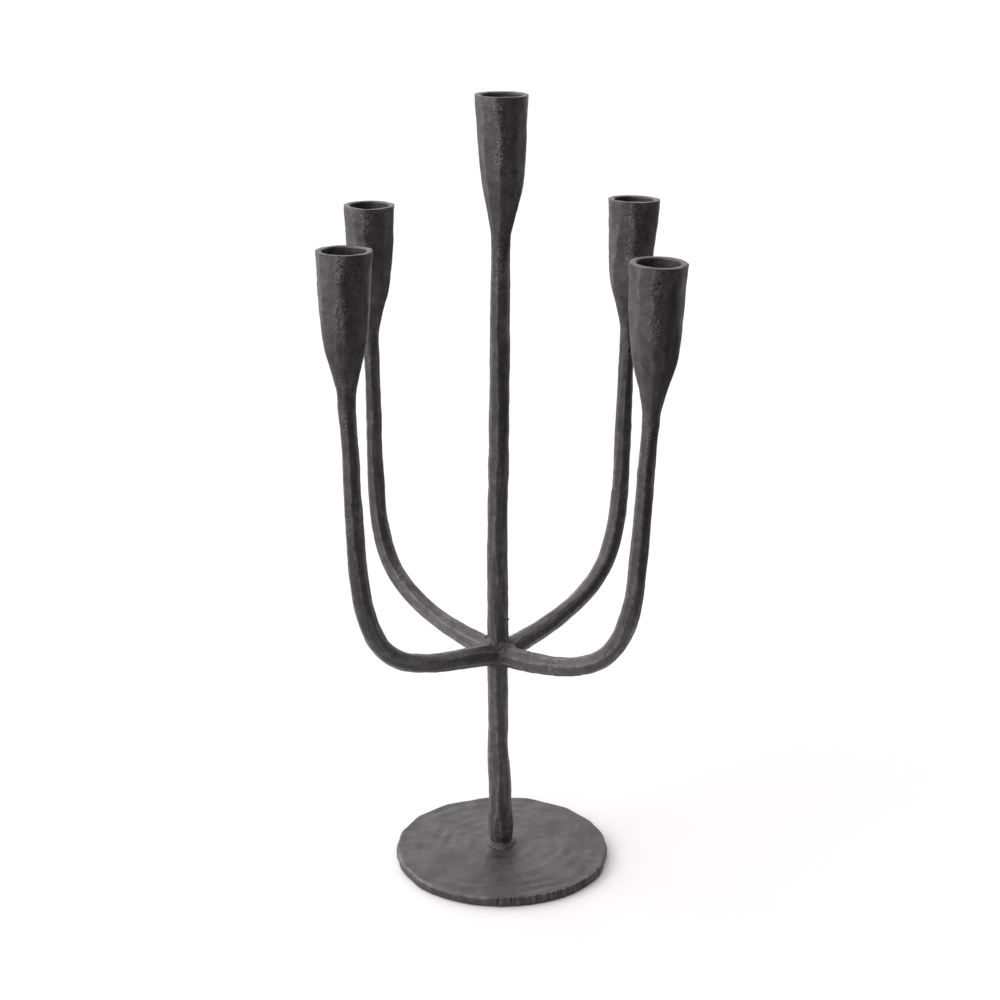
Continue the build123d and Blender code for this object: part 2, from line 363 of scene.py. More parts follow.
def hammered(places, from_neck, angles, girth, ridge, seed, hammering):
    """Radii after hammering: long flats each side of a main ridge, and short flats from single blows.

    Near a neck the flats fade out, so that the two pieces meet in the same round.
    """
    sides, depth, blow_length = hammering
    random = np.random.default_rng(seed)
    layers = [np.broadcast_to(girth[:, None] * UNHAMMERED, (len(places), len(angles)))]
    for side in range(sides):
        slow = 0.24 * wander(places, 44 * MM, seed + side * 1.31)
        quick = 0.1 * wander(places, 14 * MM, seed + side * 2.7)
        turned = side + 0.5 + (slow + quick) + random.uniform(-0.14, 0.14)
        facing = ridge + 2 * pi * turned / sides
        height = 1 - depth * (1 + 0.9 * wander(places, 26 * MM, seed + side * 3.3))
        layers.append(flat(angles, girth * height, facing))
    for _ in range(int(places[-1] / blow_length * BLOWS)):
        middle = random.uniform(places[0], places[-1])
        half = blow_length * random.uniform(0.6, 1.5)
        facing = np.full(len(places), random.uniform(0, 2 * pi))
        sag = ((places - middle) / half) ** 2
        distance = girth * (1 - depth * random.uniform(1.0, 1.6) + depth * 1.6 * sag)
        layers.append(flat(angles, distance, facing))
    radii = soft_lowest(layers, FLAT_SHARPNESS)
    radii = radii * (girth / radii.mean(1))[:, None]
    kept = np.clip(from_neck / NECK_FADE, 0, 1)[:, None]
    return girth[:, None] * (1 - kept) + radii * kept


def skin(points, seed, spots):
    """The forged skin: how far each point stands proud, in metres, and how pitted it is, from 0 to 1.

    Spots are (middle, size) places where the iron was worked most, drawn out upwards.
    """
    pitted = 0.6 * np.clip(noise(points, 13 * MM, seed + 5) * 1.8 - 0.3, 0, 1)
    for middle, size in spots:
        reach = np.linalg.norm((points - middle) * [1, 1, 0.33], axis=-1) / size
        pitted = np.maximum(pitted, np.clip(2.0 * (1 - reach), 0, 1))
    waves = 0.14 * MM * noise(points, 6 * MM, seed)
    ripples = 0.08 * MM * noise(points, 2.6 * MM, seed + 1)
    grit = (0.03 + 0.22 * pitted) * MM * noise(points, 1.2 * MM, seed + 3)
    return waves + ripples + grit, pitted


def ring_frames(line, side):
    """The two directions across a centreline at each of its points."""
    heading = unit(np.gradient(line, axis=0))
    across = unit(side - heading * (heading @ side)[:, None])
    return across, np.cross(heading, across)


def bar_piece(name, line, girth, places, side, seed, spots):
    """A hammered bar along a centreline, closed at both ends."""
    angles = np.linspace(0, 2 * pi, BAR_AROUND, endpoint=False)
    across, other = ring_frames(line, np.array(side, float))
    outward = across[:, None] * np.cos(angles)[None, :, None] + other[:, None] * np.sin(angles)[None, :, None]
    ridge = np.unwrap(np.arctan2(other @ MAIN_RIDGE_FACING, across @ MAIN_RIDGE_FACING))
    radii = hammered(places, places[-1] - places, angles, girth, ridge, seed, BAR_HAMMERING)
    wear_and_painted_highlight = ridge_wear(radii, BAR_RIDGE_HEIGHT)
    proud, pitted = skin(line[:, None] + outward * radii[..., None], seed, spots)
    shell = line[:, None] + outward * (radii + proud)[..., None]
    vertices = np.concatenate([line[:1], shell.reshape(-1, 3), line[-1:]])
    wear_and_painted_highlight = np.concatenate([[0], wear_and_painted_highlight.ravel(), [0]])
    pitted = np.concatenate([[0], pitted.ravel(), [0]])
    faces = tube_faces(len(line), BAR_AROUND)
    make_piece(f"{name}_forged", vertices, faces, wear_and_painted_highlight, pitted, [name], "bar_iron")


# --- Stem and arms ---------------------------------------------------------------------------------
def neck_of(name):
    """The middle of a cup's neck, where it meets its bar."""
    rim, axis, length, _ = socket(name)
    return rim - axis * length


def meet_neck(name, radius, places):
    """A bar's radii drawn in near its end to the radius of the cup's neck."""
    rim, axis, length, _ = socket(name)
    felt_at = rim - axis * (length - CUP_CLEAR)
    neck_radius = probe(cad_tree(f"cup_{name}"), felt_at, axis, CUP_REACH)[1]
    share = np.clip(1 - (places[-1] - places) / NECK_TAPER, 0, 1)
    return radius * (1 - share) + neck_radius * share


def make_stem():
    """Makes the stem from inside the plate to its neck, and gives its centreline and radii."""
    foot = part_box("base_plate")[1].z
    neck = neck_of("centre")
    start = (0, 0, foot - PROBE_STEP / 2)
    highest = neck[2] - 1.6 * PROBE_STEP
    line, girth = trace("stem", start, (0, 0, 1), STEM_REACH, lambda point: point[2] > highest)
    line[0, :2] = line[1, :2]
    line = np.concatenate([line, neck[None]])
    girth = np.concatenate([girth, girth[-1:]])
    fine, radius, places = resample(line, girth)
    radius = meet_neck("centre", radius, places)
    front = np.array([-0.15, -1, 0]) * radius[-1]
    under_neck = neck + front - [0, 0, 9 * MM]
    above_foot = fine[0] + front * 1.2 + [0, 0, 14 * MM]
    spots = [(under_neck, 3.2 * MM), (above_foot, 3 * MM)]
    bar_piece("stem", fine, radius, places, (1, 0, 0), seed_for("stem"), spots)
    return fine, radius


def make_arm(name, seed, stem_line):
    """Makes one arm, felt from its neck inwards and then run straight on into the stem.

    Gives its centreline and radii, from the stem outwards.
    """
    axis = socket(name)[1]
    neck = neck_of(name)
    core = stem_line[:, :2].mean(0)
    line, girth = trace(
        f"arm_{name}", neck, -axis, ARM_REACH, lambda point: np.hypot(*(point[:2] - core)) < HUB_CLEAR
    )
    inward = unit(line[-1] - line[-4])
    steps = int(HUB_RUN_IN / PROBE_STEP)
    run_in = line[-1] + inward * PROBE_STEP * np.arange(1, steps + 1)[:, None]
    line = np.concatenate([line, run_in])
    girth = np.concatenate([girth, np.full(steps, girth[-1])])
    girth[:2] = girth[2]  # the first section is cut by the neck's bevel
    fine, radius, places = resample(line[::-1], girth[::-1])
    swell = 1 + HUB_SWELL * np.exp(-((places / HUB_SWELL_REACH) ** 2))
    radius = meet_neck(name, radius, places) * swell
    side = np.cross([0, 0, 1], unit([neck[0], neck[1], 0]))
    front = np.array([-0.2, -1, 0]) * radius[-1]
    under_neck = neck + front - [0, 0, 7 * MM]
    near_hub = fine[ring_at(42 * MM)] + [0, -3 * MM, 3 * MM]
    spots = [(under_neck, 2.6 * MM), (near_hub, 6 * MM)]
    bar_piece(f"arm_{name}", fine, radius, places, side, seed, spots)
    return fine, radius


# --- Cups ------------------------------------------------------------------------------------------
def feel_cup(name, depths):
    """How far a cup's middle lies off its axis, and its radius, at depths below its rim."""
    rim, axis, length, _ = socket(name)
    tree = cad_tree(f"cup_{name}")
    felt_at = np.linspace(length - CUP_CLEAR, CUP_TOP_CLEAR, int(length / PROBE_STEP))
    sections = [probe(tree, rim - axis * depth, axis, CUP_REACH) for depth in felt_at]
    middles = np.array([s[0] - axis * np.dot(s[0] - rim, axis) - rim for s in sections])
    order = np.argsort(felt_at)
    offset = np.stack([np.interp(depths, felt_at[order], middles[order, k]) for k in range(3)], 1)
    girth = np.interp(depths, felt_at[order], np.array([s[1] for s in sections])[order])
    return smooth_line(offset, 3 * MM / CUP_STEP), smooth_line(girth[:, None], 2 * MM / CUP_STEP)[:, 0]


def make_cup(name, seed):
    """A tapered cup: hammered outside, an uneven rounded lip, and a plain round socket."""
    rim, axis, length, _ = socket(name)
    angles = np.linspace(0, 2 * pi, CUP_AROUND, endpoint=False)
    side = unit(np.cross([0, 1, 0], axis))
    other = np.cross(axis, side)
    outward = side * np.cos(angles)[:, None] + other * np.sin(angles)[:, None]
    depths = np.linspace(length, 0, int(length / CUP_STEP))
    offset, girth = feel_cup(name, depths)

    ridge = np.arctan2(other @ MAIN_RIDGE_FACING, side @ MAIN_RIDGE_FACING)
    ridge = ridge + RIDGE_WANDER * wander(depths, 11 * MM, seed + 0.5)
    from_neck = length - depths
    wall = hammered(from_neck, from_neck, angles, girth, ridge, seed, CUP_HAMMERING)
    softened = RIM_SOFTENING * np.clip(1 - depths / RIM_FADE, 0, 1)[:, None]
    wall = wall * (1 - softened) + girth[:, None] * softened
    wear_and_painted_highlight = ridge_wear(wall, CUP_RIDGE_HEIGHT)

    line = rim - axis * depths[:, None] + offset
    at_ridge = unit([-0.1, -1, 0]) * girth[-1]
    low_spot = rim - axis * length * 0.38 + at_ridge * 0.93
    high_spot = rim - axis * length * 0.1 + at_ridge
    spots = [(low_spot, 4.4 * MM), (high_spot, 3.4 * MM)]
    proud, pitted = skin(line[:, None] + outward * wall[..., None], seed, spots)
    shell = line[:, None] + outward * (wall + proud)[..., None]
    finish_cup(name, seed, outward, shell, wear_and_painted_highlight, pitted)


def lip_rings(seed, rim, axis, outer, inner, waves):
    """The rings across a cup's lip, rounded at both edges, and each one's wear."""
    thickness = np.linalg.norm(outer - inner, axis=1).mean()
    rings = []
    wear_and_painted_highlight = []
    for share in LIP_SHARES:
        from_edge = min(share, 1 - share) * thickness
        edge = np.clip(1 - from_edge / LIP_ROUND, 0, 1)
        drop = LIP_DROP * (1 - np.sqrt(max(0.0, 1 - edge**2)))
        ring = rim + outer * (1 - share) + inner * share + axis * (waves - drop)[:, None]
        rings.append(ring + axis * (skin(ring, seed + 4, [])[0] * 0.8)[:, None])
        wear_and_painted_highlight.append(0.45 if edge > 0.1 else 0.15)
    return rings, wear_and_painted_highlight


def finish_cup(name, seed, outward, shell, wear_and_painted_highlight, pitted):
    """Adds the lip, the socket's wall and its floor to a cup's outer wall, and makes the piece."""
    rim, axis, _, bore = socket(name)
    outer = shell[-1] - rim
    outer = outer - axis * (outer @ axis)[:, None]
    inner = outward * (bore + 0.12 * MM * noise(outward, 0.5, seed + 9))[:, None]
    waves = 0.28 * MM * noise(outward, 0.7, seed + 8)
    rings, ring_wear = lip_rings(seed, rim, axis, outer, inner, waves)
    depth = socket_depth(name)
    for below in np.arange(SOCKET_STEP, depth, SOCKET_STEP):
        ring = rim + inner - axis * below
        rings.append(ring + outward * (skin(ring, seed + 6, [])[0] * 0.6)[:, None])
    for share in SOCKET_FLOOR_SHARES:
        rings.append(rim + inner * share - axis * depth)
    ring_wear += [0] * (len(rings) - len(ring_wear))

    inside = len(rings) * len(outward)
    first = shell[0].mean(0)[None]
    last = (rim - axis * depth)[None]
    vertices = np.concatenate([first, shell.reshape(-1, 3), np.array(rings).reshape(-1, 3), last])
    wear_and_painted_highlight = np.concatenate([[0], wear_and_painted_highlight.ravel(), np.repeat(ring_wear, len(outward)), [0]])
    pitted = np.concatenate([[0], pitted.ravel(), np.full(inside + 1, 0.15)])
    faces = tube_faces(len(shell) + len(rings), len(outward))
    make_piece(f"cup_{name}_forged", vertices, faces, wear_and_painted_highlight, pitted, [f"cup_{name}"], "cup_iron")


def socket_depth(name):
    """How deep a cup's socket goes below its rim, from its mount."""
    mount = socket_mount(name)
    rim = socket(name)[0]
    return np.linalg.norm(rim - np.array(mount["pos_m"])) + mount["dims"]["length_mm"] * MM / 2


# --- Base and felt ---------------------------------------------------------------------------------
def circle(around):
    """The angles of points round a circle, and the way each one lies."""
    angles = np.linspace(-pi, pi, around, endpoint=False)
    return angles, np.stack([np.cos(angles), np.sin(angles), np.zeros_like(angles)], -1)


def disc(rings, high, low):
    """The vertices and faces of a disc made of rings, from the middle of its top round to its underside."""
    ends = np.array([[0, 0, high], [0, 0, low]])
    vertices = np.concatenate([ends[:1], rings.reshape(-1, 3), ends[1:]])
    faces = [face[::-1] for face in tube_faces(len(rings), rings.shape[1])]
    return vertices, faces


def fade_between(angles, first, last, fade_in, fade_out):
    """1 between two ends and 0 outside them, faded inside each end. Ends and fades are in degrees."""
    rise = np.clip((angles - radians(first)) / radians(fade_in), 0, 1)
    fall = np.clip((radians(last) - angles) / radians(fade_out), 0, 1)
    return rise * fall


def smooth_ring(values, width):
    """Values round a circle, averaged over a number of steps each way."""
    return np.mean([np.roll(values, step) for step in range(-width, width + 1)], axis=0)


def chiselled(angles):
    """How deep the plate's edge is nicked at each angle, by upright cuts of different widths."""
    random = np.random.default_rng(12)
    depth = np.zeros_like(angles)
    middle = FIRST_CUT
    while middle < 0:
        middle += random.uniform(1.0, 4.4) * MM / CUT_RADIUS
        half = random.uniform(0.7, 1.5) * MM / CUT_RADIUS
        cut = random.uniform(0.3, 1.7) * MM
        depth = np.maximum(depth, cut * np.clip(1 - np.abs(angles - middle) / half, 0, 1))
    return depth


def disc_ring(outward, radius, height):
    """One ring of a disc, with its radius and height each way."""
    ring = outward * radius[:, None]
    ring[:, 2] = height
    return ring


def top_ripple(outward, radius):
    """How far the plate's top rises or falls: broken rings of hammer marks, and a swell up to the weld."""
    points = outward * radius[:, None]
    swirl = radius + 3.2 * MM * noise(points, 18 * MM, 21)
    broken = np.clip(0.6 + 1.1 * noise(points, 14 * MM, 22), 0, 1.6)
    rings = 0.15 * MM * (np.sin(2 * pi * swirl / RIPPLE_WIDTH) * broken)
    dents = 0.24 * MM * noise(points, 10 * MM, 23)
    fine = 0.05 * MM * noise(points, 3 * MM, 24)
    swell = 1.5 * MM * np.clip((16 * MM - radius) / (7 * MM), 0, 1) ** 2
    return rings + dents + fine - 0.3 * MM + swell


def feel_edge(outward, height):
    """The plate's radius each way, at one height."""
    tree = cad_tree("base_plate")
    edge = np.empty(len(outward))
    for step, direction in enumerate(outward):
        outside = Vector(direction * PLATE_REACH + np.array([0, 0, height]))
        hit = tree.ray_cast(outside, Vector(-direction), PLATE_REACH)[0]
        edge[step] = np.linalg.norm(np.array(hit)[:2])
    return smooth_ring(edge, 6)


def make_base():
    """The round plate: a rippled top, an edge rubbed and painted with a highlight at the front left, and
    chiselled at the front right.
    """
    low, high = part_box("base_plate")
    angles, outward = circle(BASE_AROUND)
    around = outward * 40 * MM
    edge = feel_edge(outward, (low.z + high.z) / 2) + 0.15 * MM * noise(around, 2.5 * MM, 4)
    notched = fade_between(angles, *CHISELLED)
    # The front-left stretch of the edge is partly rubbed and partly a painted highlight where the key light
    # falls: its rounded bevel and the side below it are given bare metal through the wear.
    rubbed_and_painted_highlight = fade_between(angles, *RUBBED_AND_PAINTED_HIGHLIGHT) * np.clip(0.75 + 0.7 * noise(around, 7 * MM, 14), 0, 1)
    notch = notched * chiselled(angles)
    bevel = (1.5 - 0.7 * notched - 0.4 * rubbed_and_painted_highlight) * MM

    rings = []
    wear_and_painted_highlight = []
    for share in np.linspace(0.02, 1, BASE_RINGS) ** 0.8:  # the top
        radius = (edge - bevel - 0.6 * notch * share**30) * share
        rings.append(disc_ring(outward, radius, high.z + top_ripple(outward, radius)))
        wear_and_painted_highlight.append(np.clip((share - 0.985) / 0.015, 0, 1) * (0.25 + 1.6 * rubbed_and_painted_highlight))
    flakes = notched * np.clip(2.5 * noise(around, 2 * MM, 18) - 0.4, 0, 1.5)
    for turn in np.linspace(0.25, 1, 4):  # the rounded edge
        drop = bevel * (1 - cos(turn * pi / 2))
        radius = edge - bevel * (1 - sin(turn * pi / 2)) - notch * (0.6 + 0.4 * turn)
        rings.append(disc_ring(outward, radius, high.z + top_ripple(outward, radius) * (1 - turn) - drop))
        wear_and_painted_highlight.append((0.25 + 2.4 * rubbed_and_painted_highlight + flakes) * (1 - 0.5 * turn))
    for share in np.linspace(0.12, 1, 9):  # the side
        chip = notch * (1 - 0.7 * share) + 0.18 * MM * noise(around + [0, 0, share * 4 * MM], 2.2 * MM, 15)
        tuck = 0.5 * MM * np.clip((share - 0.75) / 0.25, 0, 1) ** 2
        depth = bevel + (high.z - low.z - bevel) * share
        rings.append(disc_ring(outward, edge - chip - tuck, high.z - depth))
        # Painted light: at the front left the side below the edge is made lighter with bare metal, where the
        # key light falls.
        wear_and_painted_highlight.append(0.35 * notched * (notch < 0.2 * MM) + 0.6 * rubbed_and_painted_highlight * (1 - share))
    for share in (0.985, 0.9, 0.6, 0.3, 0.05):  # the underside
        rings.append(disc_ring(outward, edge * share, low.z))
        wear_and_painted_highlight.append(np.zeros(BASE_AROUND))
    vertices, faces = disc(np.array(rings), high.z, low.z)
    wear_and_painted_highlight = np.concatenate([[0], np.array(wear_and_painted_highlight).ravel(), [0]])
    pitted = 0.8 * np.clip(noise(vertices, 12 * MM, 16) * 1.8 - 0.3, 0, 1)
    make_piece("base_plate_forged", vertices, faces, wear_and_painted_highlight, pitted, ["base_plate"], "base_iron")


def make_felt():
    """The felt disc under the plate, with a slightly frayed edge."""
    low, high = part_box("base_felt")
    _, outward = circle(FELT_AROUND)
    edge = high.x - 0.15 * MM + 0.2 * MM * noise(outward * high.x, 0.9 * MM, 31)
    thickness = high.z - low.z
    rings = [disc_ring(outward, edge * share, low.z + thickness * level) for share, level in FELT_PROFILE]
    vertices, faces = disc(np.array(rings), high.z, low.z)
    plain = np.zeros(len(vertices))
    make_piece("base_felt_disc", vertices, faces, plain, plain, ["base_felt"], "felt")


# --- Welds -----------------------------------------------------------------------------------------
def net_points(field, cells):
    """The middle of the places where a surface crosses each cell's edges, counted in cells."""
    total = np.zeros((len(cells), 3))
    crossings = np.zeros(len(cells))
    for axis, step in enumerate(np.eye(3, dtype=int)):
        others = [k for k in range(3) if k != axis]
        for one, two in np.ndindex(2, 2):
            start = cells.copy()
            start[:, others[0]] += one
            start[:, others[1]] += two
            value = field[tuple(start.T)]
            following = field[tuple((start + step).T)]
            crosses = (value < 0) != (following < 0)
            share = np.where(crosses, value / np.where(crosses, value - following, 1), 0)
            total += np.where(crosses[:, None], start + step * share[:, None], 0)
            crossings += crosses
    return total / crossings[:, None]


def net_faces(inside, index):
    """A face for each step of the grid that crosses the surface, turned outwards."""
    faces = []
    step = np.eye(3, dtype=int)
    for axis in range(3):
        one, two = [k for k in range(3) if k != axis]
        crosses = np.argwhere(inside != np.roll(inside, -1, axis))
        keep = (crosses[:, one] > 0) & (crosses[:, two] > 0) & (crosses[:, axis] < inside.shape[axis] - 1)
        keep &= (crosses[:, one] < inside.shape[one] - 1) & (crosses[:, two] < inside.shape[two] - 1)
        crosses = crosses[keep]
        corners = [crosses - step[one] - step[two], crosses - step[two], crosses, crosses - step[one]]
        quads = np.stack([index[tuple(corner.T)] for corner in corners], -1)
        kept = inside[tuple(crosses.T)] if axis != 1 else ~inside[tuple(crosses.T)]
        quads[~kept] = quads[~kept][:, ::-1]
        faces.extend(quads.tolist())
    return faces


def surface_net(field, low):
    """Vertices and faces of the closed surface where a weld's field is zero; inside it is negative."""
    inside = field < 0
    across, along, up = np.array(field.shape) - 1
    counts = sum(
        inside[a:a + across, b:b + along, c:c + up].astype(int) for a, b, c in np.ndindex(2, 2, 2)
    )
    mixed = (counts > 0) & (counts < 8)
    index = -np.ones(mixed.shape, int)
    index[mixed] = np.arange(mixed.sum())
    vertices = np.array(low) + net_points(field, np.argwhere(mixed)) * WELD_CELL
    return vertices, net_faces(inside, index)


def grid_around(middle, half_box):
    """The points of a weld's grid about a middle, and its lowest corner."""
    half = np.array(half_box) * MM
    low = np.array(middle) - half
    sides = [np.arange(low[k], low[k] + 2 * half[k], WELD_CELL) for k in range(3)]
    return np.stack(np.meshgrid(*sides, indexing="ij"), -1), low


def blend_lowest(first, second, round_size):
    """The lower of two distances, rounded where they meet, as a fillet is."""
    share = np.clip(0.5 + 0.5 * (second - first) / round_size, 0, 1)
    return second * (1 - share) + first * share - round_size * share * (1 - share)


def to_line(points, start, end):
    """The distance of each point from a straight line between two points."""
    along = end - start
    share = np.clip(((points - start) @ along) / (along @ along), 0, 1)
    return np.linalg.norm(points - start - share[..., None] * along, axis=-1)


def lump(points, field, middle, size):
    """A field with one small round lump melted onto it."""
    distance = np.linalg.norm(points - middle, axis=-1) - size
    return blend_lowest(field, distance, LUMP_MELT)


def weld_piece(name, field, low, wear_noise, wear_seed, wear_range, pitting, nodes):
    """Makes a weld from its field, worn where a noise is over a floor, by a gain."""
    vertices, faces = surface_net(field, low)
    floor, gain = wear_range
    wear_and_painted_highlight = np.clip(noise(vertices, wear_noise, wear_seed) - floor, 0, 1) * gain
    make_piece(name, vertices, faces, wear_and_painted_highlight, np.full(len(vertices), pitting), nodes, "weld_iron")


def make_hub_weld(arms, stem):
    """The weld metal where the four arms meet the stem: fillets, runs and spatter."""
    line, radius = stem
    level = arms["front_left"][0][0, 2]
    at = np.argmin(np.abs(line[:, 2] - level))
    hub = line[at]
    side = radius[at]
    points, low = grid_around(hub + [0, 0, 4 * MM], HUB_WELD_BOX)
    field = np.hypot(points[..., 0] - hub[0], points[..., 1] - hub[1]) - side
    for arm_line, arm_radius in arms.values():
        bar = to_line(points, arm_line[0], arm_line[ring_at(24 * MM)]) - arm_radius[ring_at(9.6 * MM)]
        field = blend_lowest(field, bar, 6 * MM)
    far = np.linalg.norm((points - hub) * [1, 1, 1.25], axis=-1)
    field = field + 0.1 * MM + 1.0 * MM * np.clip((far - 11 * MM) / (4 * MM), 0, 1)
    field -= 0.75 * MM * noise(points, 2.8 * MM, 41) * np.clip((15 * MM - far) / (5 * MM), 0, 1)
    field -= 0.24 * MM * noise(points, 1.2 * MM, 42)
    for middle, size in hub_spatter(arms, hub, side):
        field = lump(points, field, middle, size * MM)
    nodes = [f"hub_weld_{name}" for name in BRANCHES]
    weld_piece("hub_weld_bead", field, low, 2 * MM, 43, (0.25, 0.7), 0.5, nodes)


def hub_spatter(arms, hub, side):
    """Small lumps on the arms and round the stem at the hub: their middles, and sizes in millimetres."""
    right_front, radius = arms["front_right"]
    left_back = arms["back_left"][0]
    top = radius[0]
    return [
        (right_front[ring_at(20.4 * MM)] + [0, 0, top - 1.0 * MM], 1.0),
        (right_front[ring_at(23.4 * MM)] + [0, 0, top - 1.2 * MM], 0.9),
        (left_back[ring_at(7.2 * MM)] + [0, 0, top - 0.3 * MM], 1.6),
        (hub + [side - 0.7 * MM, 0, 20 * MM], 1.1),
        (hub + [0.3 * MM, 0.5 * MM - side, -7 * MM], 1.9),
        (hub + [-2 * MM, 0.7 * MM - side, -6 * MM], 1.4),
        (hub + [side * 0.7, -side * 0.7, 3 * MM], 1.2),
        (hub + [0, side - 0.4 * MM, 7 * MM], 1.1),
    ]


def make_foot_weld(stem):
    """The weld round the stem's foot: a lumpy fillet down to the plate."""
    line, radius = stem
    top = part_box("base_plate")[1].z
    foot = line[np.argmin(np.abs(line[:, 2] - top))]
    side = radius[np.argmin(np.abs(line[:, 2] - top - 3 * MM))]
    points, low = grid_around(foot + [0, 0, 2.5 * MM], FOOT_WELD_BOX)
    from_stem = np.hypot(points[..., 0] - foot[0], points[..., 1] - foot[1]) - side
    above = points[..., 2] - top
    field = blend_lowest(from_stem, above, 8 * MM) - 0.1 * MM
    field += 1.6 * MM * np.clip((from_stem - 2.4 * MM) / (3 * MM), 0, 1)
    field += 1.4 * MM * np.clip((above - 2.4 * MM) / (2.5 * MM), 0, 1)
    field -= 0.32 * MM * noise(points, 2.8 * MM, 51) + 0.16 * MM * noise(points, 1.2 * MM, 52)
    field = lump(points, field, foot + [-4.6 * MM, -4.8 * MM, 2.6 * MM], 1.4 * MM)
    field = np.maximum(field, -2 * MM - above)  # the weld ends inside the plate
    weld_piece("foot_weld_bead", field, low, 2 * MM, 53, (0, 0.6), 0.5, ["foot_weld"])


def make_neck_weld(name, seed):
    """The dressed ring of weld under a cup, a little proud and file-marked."""
    axis = socket(name)[1]
    neck = neck_of(name)
    low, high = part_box(f"neck_weld_{name}")
    side = ((high.x - low.x) + (high.y - low.y)) / 4
    points, corner = grid_around(neck, NECK_WELD_BOX)
    along = (points - neck) @ axis
    across = np.linalg.norm(points - neck - along[..., None] * axis, axis=-1)
    field = across - side + 0.22 * MM + 1.0 * MM * (np.abs(along) / (4.6 * MM)) ** 3
    field -= 0.22 * MM * noise(points, 2.4 * MM, seed) + 0.14 * MM * noise(points, 1.1 * MM, seed + 1)
    node = f"neck_weld_{name}"
    weld_piece(f"{node}_bead", field, corner, 1.6 * MM, seed + 2, (0, 0.7), 0.7, [node])


# --- Materials -------------------------------------------------------------------------------------
def add_node(tree, kind, inputs=(), **settings):
    """A shader node with its settings, and its inputs linked to sockets or set to values."""
    made = tree.nodes.new(kind)
    for key, value in settings.items():
        setattr(made, key, value)
    for key, value in dict(inputs).items():
        if isinstance(value, bpy.types.NodeSocket):
            tree.links.new(value, made.inputs[key])
        else:
            made.inputs[key].default_value = value
    return made


def grain(tree, place, size, detail=3.0, rough_share=0.55):
    """A noise texture about one size across, in metres."""
    return add_node(
        tree, "ShaderNodeTexNoise",
        {"Vector": place, "Scale": 1 / size, "Detail": detail, "Roughness": rough_share},
    ).outputs["Fac"]


def ramp(tree, value, low, high, at_low=0.0, at_high=1.0):
    """A value mapped from one range to another, clamped."""
    return add_node(
        tree, "ShaderNodeMapRange",
        {"Value": value, "From Min": low, "From Max": high, "To Min": at_low, "To Max": at_high},
    ).outputs["Result"]


def mix(tree, share, first, second):
    """A colour between two colours, by way of a Mix node's colour sockets."""
    made = add_node(tree, "ShaderNodeMix", data_type="RGBA")
    for index, value in ((0, share), (6, first), (7, second)):
        if isinstance(value, bpy.types.NodeSocket):
            tree.links.new(value, made.inputs[index])
        else:
            made.inputs[index].default_value = value
    return made.outputs[2]


def calc(tree, operation, first, second):
    """A sum, product or other arithmetic of two values."""
    return add_node(tree, "ShaderNodeMath", {0: first, 1: second}, operation=operation).outputs[0]


def new_material(name):
    """A material with its node tree and its shader."""
    material = bpy.data.materials.new(name)
    material.use_nodes = True
    return material, material.node_tree, material.node_tree.nodes["Principled BSDF"]


def set_bump(tree, shader, height, strength, distance):
    """Bumps a shader's surface by a height."""
    bump = add_node(tree, "ShaderNodeBump", {"Height": height, "Strength": strength, "Distance": distance})
    tree.links.new(bump.outputs["Normal"], shader.inputs["Normal"])


